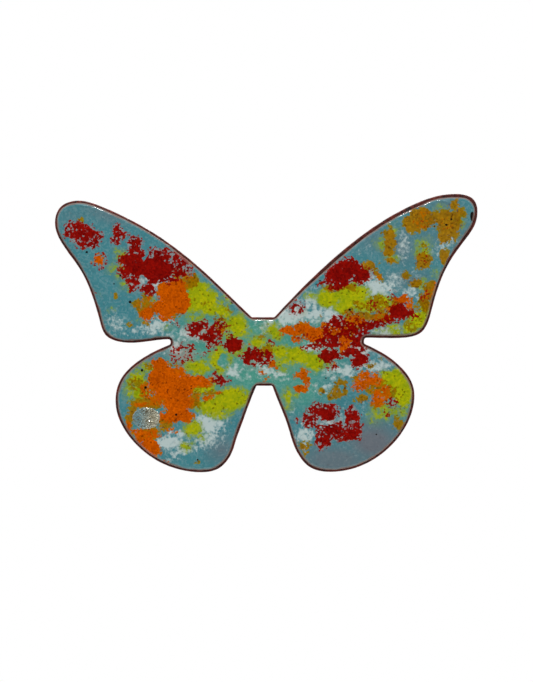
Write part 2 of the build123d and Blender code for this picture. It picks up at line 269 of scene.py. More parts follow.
sifting = {
    "white": {"soft": 1.2, "patches": [
        (-21.2, 2.5, 1.2, 1.6, 0.6), (-8.2, -14, 2, 1.2, 0.8), (-11.6, -15.2, 2.4, 1.2, 0.8),
        (-12, -13.4, 1.6, 0.8, 0.8), (16, -3.8, 2.4, 1, 0.85), (6.2, 5.4, 1.4, 1.2, 0.85),
        (0.6, -4.4, 1.9, 0.9, 0.85), (7.4, 3.6, 2, 1), (0.6, 1.8, 1.5, 0.8, 0.85), (18, 8, 1.6, 0.8, 0.9),
        (-4.4, -4.4, 1.2, 0.9, 0.9), (-13.6, -0.2, 1, 0.7, 0.85), (7.4, -1.6, 1.2, 0.6, 0.8),
        (-15.6, 1.9, 1.6, 1), (-17.9, 1.3, 1.2, 0.5, 0.7), (-14.3, 2.9, 1.4, 0.7, 0.9), (-13, -1, 1.2, 1),
        (-13.2, 0.6, 1, 0.6, 0.7), (-11.2, 0.8, 0.8, 0.6), (-8, -12, 2.2, 1.5), (-13.5, -14.6, 2.1, 1),
        (-13, -16.4, 1.2, 0.8, 0.6), (-4.1, -4.4, 1.2, 0.8, 0.6), (2, -4.8, 1.4, 0.8, 0.8),
        (1, 2.2, 1.2, 0.6), (3.5, 3.4, 2.7, 1.4), (7.2, 7.4, 0.8, 0.8, 0.4), (9.8, 10.7, 0.6, 0.3, 0.5),
        (5.5, 3.6, 1.6, 1.2), (9, 3.6, 1.9, 1.3), (6.8, 5, 1.2, 0.8, 0.7), (16, 7.4, 2.3, 1.5),
        (14.8, 8.4, 1.4, 1.2, 0.8), (18.6, 8.6, 1.3, 0.9, 0.7), (21.6, 9.6, 1, 0.6, 0.4),
        (20.9, 16, 1.2, 0.8, 0.3), (26.3, 14.6, 0.9, 1.2, 0.6), (24.4, 12.2, 1.2, 0.8, 0.4),
        (17.5, 1.1, 2.2, 0.6), (19.8, 13.4, 0.9, 2.1, 0.62), (25.5, 13.3, 1.1, 1, 0.7),
        (20.9, 6.6, 0.8, 0.7), (6.5, -1.3, 2, 0.6), (11.4, -4.4, 2.2, 0.8, 0.85),
        (12.4, -1.4, 1.8, 0.9, 0.8), (8.9, -6.6, 0.9, 0.8, 0.7), (9.6, -5, 1.4, 0.6, 0.6),
        (13.8, -1.2, 1.1, 1), (5.6, -13.6, 1.1, 1.3), (-17.5, 8.5, 0.8, 0.8, 0.8), (-15.2, 8, 0.7, 1.1),
        (-9.6, 0.6, 1, 0.7, 0.8), (6.9, -7, 1, 0.6, 0.7), (-18.7, 12.4, 0.6, 1.2, 0.5),
        (-3.9, -16.2, 1.2, 1.4, 0.45), (9.2, -11.7, 2.2, 0.7, 0.7), (10.8, -11, 0.6, 1.2, 0.6),
        (13.9, -10.2, 0.5, 0.8, 0.4), (20.4, 1, 1.6, 0.5, 0.7), (23.6, 1.8, 0.6, 1, 0.5),
        (13.9, 12.6, 1.4, 0.7, 0.35), (17, -2.2, 1.4, 0.5, 0.5), (3.8, -9.9, 0.5, 1.6, 0.4),
        (-6.4, -8.9, 1.2, 0.4, 0.4), (-19.2, 1, 1.4, 0.4, 0.5), (-2.6, -5, 1.4, 0.5, 0.5),
    ]},
    "lime": {"soft": 0.8, "patches": [
        (-9.6, 7.4, 1.8, 1.3, 1.1), (-9, 5.7, 2.6, 1.7, 1.1), (-7.6, 4.3, 2, 1, 1.05),
        (-6, 4.2, 1.4, 1.2, 1, -30), (-4, 2.1, 1.7, 1.7, 1.05), (-3, 1.2, 1.2, 1, 0.85),
        (-5.2, 0.6, 1, 0.8, 0.85), (-3.4, -1.7, 1.3, 0.9, 0.75), (-6.4, -2.8, 1.6, 1.9, 0.98),
        (-9.4, -3.8, 2.1, 1.1, 0.98), (-0.9, -0.3, 1.3, 1), (0.2, -1.3, 1.2, 0.7, 0.95),
        (1.3, 1.1, 1.4, 1.2, 0.95), (0.3, 2, 0.9, 0.6, 0.7), (2.1, -1.7, 1.8, 1, 1.05, -10),
        (4.8, -2.3, 2.4, 1.2, 1.1, -12), (7.3, -3.2, 1.8, 1.2, 1.1, -12), (3, -4, 1.1, 0.7, 0.6),
        (-18.1, -5.6, 1.4, 1.4), (-17.8, -7.5, 1.5, 1.2), (-16.4, -4, 1.1, 0.9, 0.9),
        (-7.6, -9.4, 2.3, 1.4, 1.05), (-4.7, -8.3, 2.6, 1.7, 1.1), (-6.2, -9, 1.6, 1.3),
        (-8.6, -7, 1.7, 0.9, 0.95), (-10.2, -12.6, 1.5, 1.2, 0.98), (-9.2, -13.6, 1, 0.7, 0.8),
        (-11.2, -15.1, 1, 0.7, 0.98), (9.3, 6, 2.2, 1.4, 1.05), (12.4, 6.4, 2.5, 1.6, 1.1),
        (11.3, 4.7, 1.8, 1), (6.5, 6.2, 0.7, 0.6, 0.85), (14.6, 5, 2.2, 1.1, 1.1),
        (16.6, 5.4, 1.6, 1.1, 1.05), (17, 4.7, 1.2, 0.8, 0.8), (22, 2.8, 1.7, 1.4, 1.1),
        (20.8, 1.5, 1.4, 0.8, 1.05), (18.4, 1.7, 1, 0.6, 0.95), (16, 1.2, 0.9, 0.4, 0.75), (23, 4, 1, 1.8),
        (18.6, 1.1, 1.2, 0.5, 0.9), (18.4, -5.7, 2.2, 1.5, 1.15), (19.8, -7.6, 1.6, 2.1, 1.15),
        (17.6, -7.2, 1.2, 1.2, 0.8), (16.8, -10.2, 2.3, 1.3, 0.7), (15.6, -11.5, 1.2, 0.9, 0.6),
        (19, -10.3, 1.4, 1.2, 0.7), (-6.4, -4, 1.2, 1, 0.9), (-6.4, -10.4, 1.8, 0.9, 0.85),
        (-10.6, 5.2, 1.2, 1.6, 0.9), (-19.2, -7.2, 1, 1.2, 0.8), (16.6, 13.6, 1, 1, 0.7),
        (18, 11.8, 1.2, 0.8, 0.7), (22.4, 7.8, 1.2, 0.9, 0.75), (2.8, -3.2, 1.4, 0.8, 0.9),
        (-5.4, 5.8, 1.1, 0.7, 0.75, -40), (18.2, 15.6, 0.9, 1, 0.7), (22.6, 12.4, 1.4, 1, 0.7),
        (3.2, -8.1, 0.8, 1.3, 0.95), (4.3, -7.7, 0.6, 0.5, 0.9), (3.3, -9.5, 0.6, 0.7, 0.8),
        (-21.7, 10.4, 0.8, 0.9, 0.62), (-20.6, 12.2, 0.9, 0.9, 0.7), (-20.9, 9, 0.8, 0.8, 0.62),
        (-19.8, 7.8, 0.9, 0.8, 0.62), (-18.2, 9.6, 0.8, 0.6, 0.5), (-12.4, 9.6, 1.2, 0.6, 0.7),
        (-9.4, -6.9, 1.6, 0.9, 0.9), (-7.4, -6.4, 1, 0.5, 0.8), (-21.7, 4.3, 0.4, 0.4, 0.55),
        (-17.6, 2.9, 0.7, 0.5, 0.6), (-14, 1.7, 0.8, 0.5, 0.6), (24.5, 9.4, 0.8, 1, 0.6),
        (22.7, 13.5, 1.2, 1, 0.75), (-9.8, 3.1, 1.5, 0.7, 0.75), (5.4, 3.9, 0.5, 0.5, 0.6),
        (25, 18.9, 0.8, 0.6, 0.6), (28.1, 17, 0.6, 1, 0.6), (-23.6, 6.4, 0.4, 0.3, 0.5),
        (-15.9, 5.6, 0.8, 0.7, 0.7), (2.2, 5.4, 0.5, 0.4, 0.5), (7.8, 2.6, 0.6, 0.4, 0.5),
        (1, -7.2, 0.5, 0.5, 0.45),
    ], "holes": [
        (-5.9, -2.9, 0.6, 0.8),
    ]},
    "amber": {"soft": 0.5, "patches": [
        (-26.1, 17.1, 0.6, 0.4), (-18.2, -6.4, 1.3, 1.3, 0.7), (0.2, -1.6, 1.3, 0.9, 0.8),
        (-10.6, 8.2, 1.4, 1.2, 0.9), (24, 17.4, 1.2, 1.3, 0.9), (20.9, 2, 1.3, 0.9, 0.62),
        (12, 7.4, 1.6, 0.6, 0.75), (-16.8, 4.6, 1.5, 0.8, 0.9), (18, -7.4, 1.2, 1.2, 0.75),
        (-10.2, -8.8, 1.4, 1.2, 0.85), (16.2, -6.2, 1.2, 1, 0.8), (-7.6, -7.6, 1.1, 0.6, 0.8),
        (26.9, 15, 1, 1, 0.85), (27, 19.2, 0.8, 0.8, 0.9), (9.2, 7.4, 1.2, 0.6, 0.8),
        (16.4, 3.2, 2, 0.9, 0.9), (10.4, -7.5, 1.3, 0.7, 0.85), (15, 10.6, 1.3, 0.8),
        (-6.2, 1.6, 1, 0.8, 0.8), (-20.1, 11.7, 0.5, 0.6), (-20.3, 10.4, 0.5, 0.7, 0.7),
        (-16.8, 5.7, 1.1, 0.7), (-18.1, 5.1, 0.8, 0.5), (-16.9, 2.3, 0.5, 0.4), (-19, 2.2, 0.45, 0.45),
        (-21.3, 6.3, 0.6, 0.55), (-9.8, 8.5, 1.2, 0.6, 0.6), (-8.1, 5.1, 0.7, 0.5, 0.65),
        (-5.2, 4.5, 0.9, 0.5, 0.75, -30), (-12.4, 9, 0.8, 0.6, 0.8), (-16.3, -3.8, 0.6, 0.5),
        (-17.9, -8.9, 1.6, 0.8), (-15.9, -8.9, 1.8, 1), (-17.2, -6.7, 0.9, 1.2, 0.7),
        (-13.2, -3.4, 1.2, 0.5, 0.8), (-18.8, -10.2, 0.8, 0.9), (-14.2, -11.8, 1.1, 1.2, 0.9),
        (-16.6, -13.4, 2.2, 1, 0.95), (-19.1, -11.2, 0.5, 1.3), (-12.9, 3.5, 1.2, 0.5, 0.7),
        (-6.3, 3, 0.7, 0.7, 0.8), (-0.6, 0.6, 0.9, 0.5, 0.7), (22.2, 18, 1.9, 1.1), (21.2, 16.5, 1.6, 1.5),
        (22.9, 17, 1.5, 1.4), (26.2, 16.8, 2.2, 1.9), (27.9, 18.2, 0.9, 0.8), (27.2, 19.5, 0.5, 0.7),
        (25.7, 14.6, 1.1, 0.9), (17.8, 16.2, 0.55, 0.5), (17.7, 15, 1.1, 0.9), (18, 13.8, 1.1, 1),
        (17.7, 12.5, 0.8, 0.9), (16.3, 12.9, 0.7, 0.5, 0.7), (17.9, 11.3, 1.1, 0.55),
        (22.6, 11.2, 1.4, 1.3), (22.5, 13.2, 0.9, 0.7, 0.6), (20.1, 9.3, 0.75, 0.75),
        (21.4, 8.1, 1.1, 0.8), (15.1, 10.3, 1, 0.6), (16.1, 9.3, 0.6, 1, 1, 20), (25.6, 11.9, 0.7, 1.4),
        (13.8, 5, 1.6, 0.9, 0.72, -8), (16.6, 4.6, 1.8, 1.4, 0.72), (16, 5.9, 1.3, 0.7, 0.7),
        (18.6, 5, 0.9, 0.9, 0.9), (14.2, 3.4, 1.8, 0.8, 0.85), (12.6, 2, 1.3, 1.4, 0.8),
        (12, 3.6, 1.1, 0.9, 0.8), (10.6, 7.3, 1.1, 0.5, 0.7), (12.9, 7, 1, 0.5, 0.6), (11, -6.9, 1.2, 1.2),
        (8.3, -7.3, 0.5, 0.5), (9.5, -7.9, 0.6, 0.45), (10.6, -5.9, 0.7, 0.6), (12.9, -5.4, 1, 0.7, 0.8),
        (15.6, -6.9, 1.4, 0.9, 0.8), (15.4, -9.4, 0.9, 0.6, 0.8), (14, -8.3, 0.8, 0.7),
        (12.9, -8.9, 0.25, 0.25), (15.1, -3.6, 0.6, 0.45), (16.3, -2.7, 0.3, 0.3), (5.4, -15, 0.7, 0.7),
        (6.3, -14.9, 0.5, 0.5), (5.9, -15.8, 0.45, 0.4), (19.2, -12, 0.9, 1.1, 0.85), (22.8, 5.4, 1, 1.6),
        (23.6, 7, 0.9, 1.4), (21.6, 4.6, 0.7, 0.8, 0.7), (22, 3.3, 0.8, 0.8, 0.6), (-9.8, -8.2, 0.7, 1.4),
        (-10.2, -6.9, 1.3, 0.5, 0.8), (0.2, -2.2, 0.9, 0.5, 0.8), (7.9, 3.2, 0.3, 0.25),
        (-9.6, -17.4, 0.3, 0.2), (10.9, -17.2, 0.3, 0.2, 0.7), (-22.9, 2.9, 0.3, 0.3, 0.5),
        (-18.9, -13.4, 0.7, 0.7, 0.85), (-19.7, 7.3, 0.3, 0.2, 0.6), (-4.9, -11.9, 0.25, 0.25, 0.8),
        (-18.3, -3.4, 1.1, 0.3, 0.5, 40),
    ], "holes": [
        (10.9, -6.9, 0.4, 0.45), (11.9, -6.4, 0.3, 0.3),
    ]},
    "orange": {"soft": 0.5, "patches": [
        (-23.5, 11.3, 0.75, 0.75, 1.1), (13, 2.6, 2, 1.2, 0.75), (16.6, 3.2, 1.8, 0.8, 0.62),
        (-16.6, -7, 1.2, 1.6, 0.75), (-10.6, 9, 1.2, 0.9, 0.55), (22.4, 17.2, 1.8, 1.6, 0.45),
        (25.8, 16.4, 2, 1.2, 0.4), (18, 4.6, 1, 0.6, 0.7), (4.6, 0.2, 1.2, 0.7, 0.85),
        (-6, 1.6, 0.8, 0.6, 0.5), (-16.4, 6, 0.9, 0.6, 0.7), (-12.2, -4.6, 1.2, 0.9, 0.9),
        (-13.4, 6.8, 2, 1.6), (-12.2, 8, 1.3, 0.8), (-14, 4.6, 2.3, 1.3), (-11.9, 4.8, 1.1, 1.4),
        (-11.7, 6.8, 0.9, 1.4), (-16.7, 3.8, 1.1, 1.2, 0.95), (-17.4, 5.2, 1, 0.6, 0.6),
        (-12.1, 5.6, 1.6, 1.6), (-14, 3.1, 1.4, 0.5), (-14.2, -6, 2.4, 2.6, 0.97), (-12.5, -6.8, 2.7, 2.1),
        (-12.5, -9, 2.1, 1.5), (-12.2, -10.8, 2.3, 1.2), (-14.6, -8.4, 1.8, 1.2, 0.8),
        (-9.3, -5.8, 2.2, 0.9, 1, -8), (-15, -3.4, 1.3, 0.9), (-6.6, -7.4, 0.9, 0.35, 1, 25),
        (-7.9, -8.1, 0.6, 0.4), (-9.5, -8, 0.6, 0.7, 0.7), (-17.4, -13.5, 2, 1, 0.88, -20),
        (-14.3, -11, 1, 1, 0.85), (-17.3, -9.2, 2, 0.5, 0.75), (-16, -15.2, 1.2, 1.8, 1, 35),
        (-17.6, -14.6, 1.2, 0.8, 0.9, -30), (-15.4, -13.2, 1.3, 0.6, 0.85, -10),
        (-13.4, -12.9, 1.3, 0.5, 0.7), (-19.3, -12.3, 0.5, 0.9), (-14, -17.2, 0.5, 0.25),
        (-10.6, -8.9, 0.8, 1.2, 0.8), (3.6, 1.2, 1.6, 0.7, 1, -5), (5.6, 1.6, 1.5, 1), (7, 0.8, 1.6, 1.3),
        (8.7, 1.4, 1.2, 1.2, 0.75), (11.3, -0.4, 1.1, 1.4, 0.95), (10.3, 1.4, 1.6, 1.1, 0.85),
        (12.2, 1.2, 0.9, 0.6, 0.7), (5.2, -4.9, 1.3, 1, 0.85), (6, -5.9, 0.9, 0.9, 0.85),
        (5.2, -6.9, 1, 0.65), (13.7, -6.3, 1.8, 1.1, 0.82), (15.3, -5.7, 1.6, 1, 0.85),
        (14.2, -4.9, 0.8, 0.5), (16.9, -7.5, 1.1, 1.3, 0.8), (16.1, -8.7, 1.3, 1.2, 0.8),
        (15.9, -7.6, 0.7, 0.8), (19.6, 5.8, 1.3, 0.8), (20.6, 5, 0.7, 0.8, 0.8),
        (1.3, -3.3, 0.6, 0.9, 1, 30), (-0.5, -4.6, 0.55, 0.35), (0.4, -5.5, 0.3, 0.25),
        (23.2, 6.3, 0.8, 1.3, 0.6), (24.1, 7.3, 0.5, 1.3, 0.65), (-10.6, 11.1, 0.8, 0.5, 0.8, -35),
        (-2.2, -0.9, 0.5, 0.4, 0.7), (-0.4, -3, 0.7, 0.5, 0.7), (-4.7, 6, 0.7, 0.3, 0.6, -40),
        (22.6, 17.9, 1.4, 0.9, 0.5), (21.4, 16.3, 0.8, 0.6, 0.4), (26.4, 16.2, 1.4, 1, 0.33),
        (16, 9.2, 0.7, 0.9, 0.6), (-16.2, 6.6, 0.5, 0.5, 0.7), (9.9, -3.4, 0.3, 0.3),
        (4.2, -11, 0.3, 0.3, 0.6),
    ], "holes": [
        (-16.85, -11.1, 1.7, 1.3), (5, -5.9, 0.35, 0.4), (-11.6, -11.9, 0.9, 0.3),
    ]},
    "red": {"soft": 0.55, "patches": [
        (-27, 15.5, 1.6, 1.5, 1.02), (-12, 9.8, 1.6, 0.9, 1, -30), (12.2, -12, 1, 1.2),
        (12.2, -1.6, 1.4, 0.9), (-16.4, 12, 0.8, 0.7, 0.9), (7.4, 1.2, 1.2, 0.7, 0.5),
        (6.2, 0.4, 1, 0.7, 0.5), (0.2, -2.8, 1, 0.9, 0.95), (-25.6, 15.1, 1.9, 1.6, 1.04, -20),
        (-24.6, 14.6, 1.5, 1.5), (-25.4, 13.9, 1.9, 1.1, 1.02), (-26.5, 14.8, 1.5, 1.2),
        (-20.9, 15.7, 0.7, 0.75, 1.1), (-20.4, 15, 0.9, 0.75, 1.1), (-21.1, 14.2, 0.7, 0.6, 1.1),
        (-18.4, 14, 1.2, 0.9), (-18.4, 12.7, 1.2, 1), (-18.2, 11.2, 2.3, 1.7, 1.14),
        (-20, 11.5, 0.9, 1.2, 0.8), (-19.4, 9.9, 1.7, 1.2), (-17.4, 9.6, 2, 1.3, 1.15),
        (-14.9, 10.2, 2.3, 1.7, 1.2, -15), (-14.7, 12.2, 1.5, 1.1, 1.05), (-13, 10.9, 1.3, 1, 0.95),
        (-16.2, 9.2, 2.2, 1.3, 1.2), (-15.4, 13.1, 0.9, 0.5, 0.85), (-13.2, 12.2, 0.9, 0.7, 0.85),
        (-12, 11.3, 1.6, 1.1, 0.98, -30), (-18.5, 8.1, 1.1, 1.2), (-16.6, 7.2, 1.4, 0.9, 0.95),
        (-11.2, 10.2, 1.5, 0.9, 0.86, -30), (-13.3, 8.5, 1.8, 0.6, 0.95), (-23.4, 11.2, 1.2, 1.15, 1.02),
        (-12.5, 2.2, 0.6, 0.5), (-9.4, 1.5, 1.7, 1.3, 1.02), (-7.9, 0.9, 1.9, 1.3, 1.02, -10),
        (-6.3, 2.1, 1.1, 1, 0.85), (-7.4, -0.6, 1.1, 0.8, 0.97), (-6, -0.3, 0.6, 0.5, 0.85),
        (-5.4, 1.5, 0.7, 0.6, 0.75), (-4.4, -0.6, 1.35, 1.3, 1.2), (-11.6, -2, 1.9, 1.7, 0.8),
        (-11.6, -0.8, 0.7, 0.6), (-8.8, -2, 1, 0.7, 0.72), (-1.7, -2.4, 1.7, 1.4, 1.1),
        (-0.2, -2.6, 1.5, 1.1, 0.98), (-0.6, -3.8, 0.6, 0.4, 0.7), (-6.5, -5.6, 1.4, 0.9, 0.95, -10),
        (0.9, -0.6, 0.8, 0.6, 0.72), (4.6, 4.5, 1.2, 1.1), (5.5, -1.1, 0.9, 0.5, 0.7),
        (7.4, -1, 1.3, 0.7, 0.8), (11.9, 10.1, 2.2, 1.6, 1.14), (10.4, 9.2, 2.2, 1.5, 1.12),
        (13.5, 9.3, 2, 1.2, 1.1), (10.4, 8.1, 2.2, 1, 1.02), (8.6, 8.1, 1.2, 0.7, 0.85),
        (12.9, 8.3, 1.4, 0.6, 0.9), (10.5, 2.4, 1.9, 1.2), (9.6, 0.4, 2.6, 1.7, 1.02),
        (12.6, 0.6, 2.1, 2.2, 1.02), (9.3, -2.2, 1.7, 1, 1.1), (9.7, -3.8, 0.8, 0.6, 0.9),
        (13.4, -2.9, 1.7, 1, 1.15, 15), (12.8, -1.5, 1.6, 1.1, 0.9), (15.4, 2.3, 3.2, 0.6, 1.02, 5),
        (13.2, 2.6, 1.6, 0.9, 0.62), (12.4, 3.8, 1.4, 0.6, 0.5), (17.8, 3.1, 1.4, 0.7, 0.95, 10),
        (19.2, 4, 1.8, 1.3, 1.2), (20.7, 3.7, 0.9, 0.7), (18, 6.1, 0.9, 0.5, 0.7),
        (18.3, 7.1, 0.4, 0.3, 0.9), (8.4, -10.2, 2.3, 1.5, 1.02), (6.4, -11.4, 1.4, 1.1),
        (7.7, -12.1, 0.8, 0.6, 0.8), (4.7, -11.3, 0.5, 0.5), (8.5, -13.6, 1.4, 1.5, 1.03),
        (10.2, -12.9, 2, 1.3, 1.04), (12.3, -11, 1.3, 1.7, 1.02), (12.6, -12.7, 1.5, 1.6, 1.02),
        (11.3, -13.7, 1.8, 0.9), (8.1, -15.1, 0.6, 0.7), (18.1, -8.8, 0.9, 0.8, 0.85),
        (17.5, -10.5, 0.5, 0.35), (15.5, 4.9, 1.2, 0.6, 0.55), (17, 4.2, 1, 0.8, 0.55),
        (12.6, 3.4, 1.2, 0.9, 0.75), (-24, 6.8, 0.7, 0.9, 0.5), (22.3, 17.2, 2, 1.6, 0.33),
        (26.2, 16.8, 2, 1.8, 0.3), (17.8, 14.2, 0.8, 2, 0.34), (22.6, 11.6, 1, 1.4, 0.42),
        (23, 6.2, 1, 1.6, 0.42), (16.2, 4.8, 2.6, 1.2, 0.5), (-13.5, -6, 3, 2.2, 0.27),
        (-12.8, 6.5, 2.2, 1.8, 0.27), (19.3, -4.3, 0.9, 0.6, 0.7), (-5, 5.6, 1.1, 0.5, 0.55, -40),
        (2.6, -0.6, 0.4, 0.3, 0.6), (5.2, 0.4, 2.4, 0.5, 0.45), (14.6, -6.5, 1.4, 0.8, 0.3),
    ], "holes": [
        (-17.3, 8.6, 0.45, 0.7), (-17, 12, 0.2, 0.9), (-1.85, -3, 0.3, 0.3), (4.6, 4.35, 0.4, 0.4),
        (-11.7, -2, 0.9, 0.8, 0.5), (-23.5, 11.3, 0.75, 0.75), (9.3, -11.8, 0.6, 0.3),
        (10.9, -11.2, 0.3, 1.2), (-8.7, 1.3, 0.3, 0.3, 0.6), (11.3, -0.4, 0.7, 0.9, 0.55),
        (7.6, 0.9, 0.7, 0.6, 0.7), (10, 1.4, 0.8, 0.5, 0.5), (11.5, -3.6, 0.5, 0.5),
    ]},
}

# Soft tints of the ground glass, all wide and faint, and single dark dots.
tints = {
    "body": {"soft": 5.0, "patches": [
        (-1, -2, 13, 6), (5, -7, 4, 3), (-9, 2, 4, 3),
    ]},
    "dusk": {"soft": 1.8, "patches": [
        (15.5, -14.5, 3.6, 2.6), (-6, -15.6, 1.6, 1.4, 0.8), (-22.5, 17.9, 2.4, 0.8, 0.6, -20),
        (25.4, 19.2, 1.4, 0.8, 0.6), (-16, -2.2, 2.4, 0.6, 0.6, 30), (-27.5, 17.6, 1.6, 1.2, 0.3),
        (15.5, 14.5, 3.2, 2, 0.35), (10, -17, 5, 2, 0.8), (19.6, 13.4, 2, 2.4, 0.5),
        (20.6, 8.6, 2.6, 1.2, 0.5), (23.6, 14.4, 2.4, 2, 0.3), (27.6, 15.6, 1.6, 3, 0.4),
    ]},
    "blush": {"soft": 0.9, "patches": [
        (-11.7, -2, 1.7, 1.5, 0.8), (-9, 1.2, 2, 1.1, 0.7), (-18, 8.1, 1, 1, 0.5),
        (4.6, 4.4, 0.8, 0.8, 0.7), (13.6, -1.4, 1.2, 0.9, 0.6), (9.6, -11.9, 2.2, 0.8, 0.4),
        (17.5, 1.6, 2.4, 0.6, 0.4), (-1.9, -3.2, 0.5, 0.5, 0.8),
    ]},
    "dots": {"soft": 0.12, "patches": [
        (-25.3, 12.5, 0.19, 0.17), (-20.5, 9.2, 0.17, 0.17), (-19.1, 5.4, 0.21, 0.21),
        (-21.4, 8, 0.13, 0.13), (-16.9, -6.75, 0.21, 0.21), (-12.55, -10.6, 0.19, 0.17),
        (-17.4, -4.3, 0.19, 0.21), (-9.5, -17, 0.15, 0.15), (12.1, 4.3, 0.21, 0.19),
        (25.9, 16.4, 0.21, 0.17), (26.6, 17.2, 0.17, 0.17), (7.3, 7.9, 0.13, 0.13), (7.9, 8.4, 0.13, 0.13),
        (15.9, -13.4, 0.13, 0.13), (8.7, -5.4, 0.13, 0.13), (-4.6, 5.4, 0.19, 0.3, 1, 30),
        (-3.4, 4.6, 0.1, 0.17), (24.2, 16.2, 0.13, 0.13), (13.9, 6.9, 0.11, 0.11),
        (-10.4, -6.9, 0.12, 0.12), (26.2, 11.3, 0.3, 0.7, 1, -25), (29.6, 17.6, 0.3, 0.7),
    ]},
}


def addNode(tree, kind, inputs=None, **settings):
    made = tree.nodes.new(kind)
    for name, value in settings.items():
        setattr(made, name, value)
    for socket, value in (inputs or {}).items():
        if isinstance(value, bpy.types.NodeSocket):
            tree.links.new(value, made.inputs[socket])
        else:
            made.inputs[socket].default_value = value
    return made


def maths(tree, operation, first, second, third=0.0):
    return addNode(tree, "ShaderNodeMath", {0: first, 1: second, 2: third}, operation=operation).outputs[0]


def times(tree, first, second):
    return maths(tree, "MULTIPLY", first, second)


def moved(tree, operation, first, second):
    return addNode(tree, "ShaderNodeVectorMath", {0: first, 1: second}, operation=operation).outputs[0]


def blended(tree, share, first, second):
    return addNode(tree, "ShaderNodeMix", {0: share, 2: first, 3: second}).outputs[0]


def ramped(tree, value, low, high, start=0.0, end=1.0):
    return addNode(tree, "ShaderNodeMapRange", {0: value, 1: low, 2: high, 3: start, 4: end},
                   interpolation_type="SMOOTHSTEP").outputs[0]


def paint(tone):  # tones are red, green and blue up to 255; what a node gives is left as it is
    if not isinstance(tone, tuple):
        return tone
    levels = [value / 255 for value in tone]
    return (*[v / 12.92 if v <= 0.04045 else ((v + 0.055) / 1.055) ** 2.4 for v in levels], 1)


def layered(tree, share, below, above):
    return addNode(tree, "ShaderNodeMix", {0: share, 6: paint(below), 7: paint(above)},
                   data_type="RGBA").outputs[2]


def newEffect(name, inputs, recipe):
    group = bpy.data.node_groups.new(name, "ShaderNodeTree")
    for label, value in inputs.items():
        kind = "NodeSocketVector" if value is None else "NodeSocketFloat"
        socket = group.interface.new_socket(label, in_out="INPUT", socket_type=kind)
        if value is not None:
            socket.default_value = value
    results = recipe(group, group.nodes.new("NodeGroupInput").outputs)
    for label in results:
        group.interface.new_socket(label, in_out="OUTPUT", socket_type="NodeSocketFloat")
    addNode(group, "NodeGroupOutput", results)
    return group


def grainRecipe(group, given):  # cells the size of a glass grain, each with values of its own
    jumble = addNode(group, "ShaderNodeTexNoise", {"Vector": given["Vector"], "Scale": 5.0, "Detail": 1.0})
    centred = moved(group, "SUBTRACT", jumble.outputs["Color"], (0.5, 0.5, 0.5))
    strayed = moved(group, "ADD", given["Vector"], moved(group, "MULTIPLY", centred, given["Jumble"]))
    place = moved(group, "ADD", strayed, given["Seed"])
    scale = maths(group, "DIVIDE", 1.0, given["Size"])
    cells = addNode(group, "ShaderNodeTexVoronoi", {"Vector": place, "Scale": scale}).outputs
    parts = addNode(group, "ShaderNodeSeparateColor", {0: cells["Color"]}).outputs
    middle = ramped(group, cells["Distance"], 0.1, 0.6, 1.0, 0.0)
    return {"Chance": parts[0], "Tone": parts[1], "Middle": middle}


def siftRecipe(group, given):  # turns a soft density into a cover of single grains
    span = maths(group, "SUBTRACT", given["Dense"], given["Sparse"])
    limit = maths(group, "MULTIPLY_ADD", given["Chance"], span, given["Sparse"])
    low = maths(group, "SUBTRACT", limit, given["Crisp"])
    high = maths(group, "ADD", limit, given["Crisp"])
    return {"Cover": ramped(group, given["Density"], low, high)}


def mottleRecipe(group, given):  # cloudy variation around 0.5, used by every finish
    scale = maths(group, "DIVIDE", 1.0, given["Size"])
    clouds = addNode(group, "ShaderNodeTexNoise", {"Vector": given["Vector"], "Scale": scale,
                                                   "Detail": given["Detail"]}).outputs[0]
    strong = maths(group, "MULTIPLY_ADD", maths(group, "SUBTRACT", clouds, 0.5), given["Contrast"], 0.5)
    return {"Value": addNode(group, "ShaderNodeClamp", {0: strong}).outputs[0]}


def scratchRecipe(group, given):  # fine lines from polishing and wear, along one axis
    along, across = given["Along"], given["Across"]
    stretch = addNode(group, "ShaderNodeCombineXYZ", {0: along, 1: across, 2: across}).outputs[0]
    drawn = moved(group, "MULTIPLY", given["Vector"], stretch)
    lines = addNode(group, "ShaderNodeTexNoise", {"Vector": drawn, "Scale": 2.0, "Detail": 4.0}).outputs[0]
    return {"Height": lines, "Mark": times(group, ramped(group, lines, 0.58, 0.72), given["Amount"])}


effects = {
    name: newEffect(name, inputs, recipe) for name, inputs, recipe in (
        ("grains", {"Vector": None, "Size": 0.3, "Seed": 0.0, "Jumble": 0.12}, grainRecipe),
        ("sifted", {"Density": 0.0, "Chance": 0.5, "Sparse": 0.2, "Dense": 0.8, "Crisp": 0.05}, siftRecipe),
        ("mottle", {"Vector": None, "Size": 1.0, "Contrast": 1.0, "Detail": 3.0}, mottleRecipe),
        ("scratches", {"Vector": None, "Along": 0.08, "Across": 6.0, "Amount": 0.5}, scratchRecipe))
}


def useEffect(tree, name, inputs):
    return addNode(tree, "ShaderNodeGroup", inputs, node_tree=effects[name]).outputs


def grains(tree, place, size, seed, jumble=0.12):
    return useEffect(tree, "grains", {"Vector": place, "Size": size, "Seed": seed, "Jumble": jumble})


def mottle(tree, place, size, contrast, detail=3.0):
    return useEffect(tree, "mottle", {"Vector": place, "Size": size, "Contrast": contrast,
                                      "Detail": detail})[0]


def newMaterial(name, **constants):
    material = bpy.data.materials.new(name)
    material.use_nodes = True
    tree = material.node_tree
    shader = tree.nodes["Principled BSDF"]
    for label, value in constants.items():
        shader.inputs[label.replace("_", " ")].default_value = value
    place = addNode(tree, "ShaderNodeVectorMath", {0: addNode(tree, "ShaderNodeTexCoord").outputs["Object"],
                                                   3: 1 / mm}, operation="SCALE").outputs[0]
    return material, shader, tree, place


def feed(tree, shader, **links):
    for label, value in links.items():
        tree.links.new(value, shader.inputs[label.replace("_", " ")])


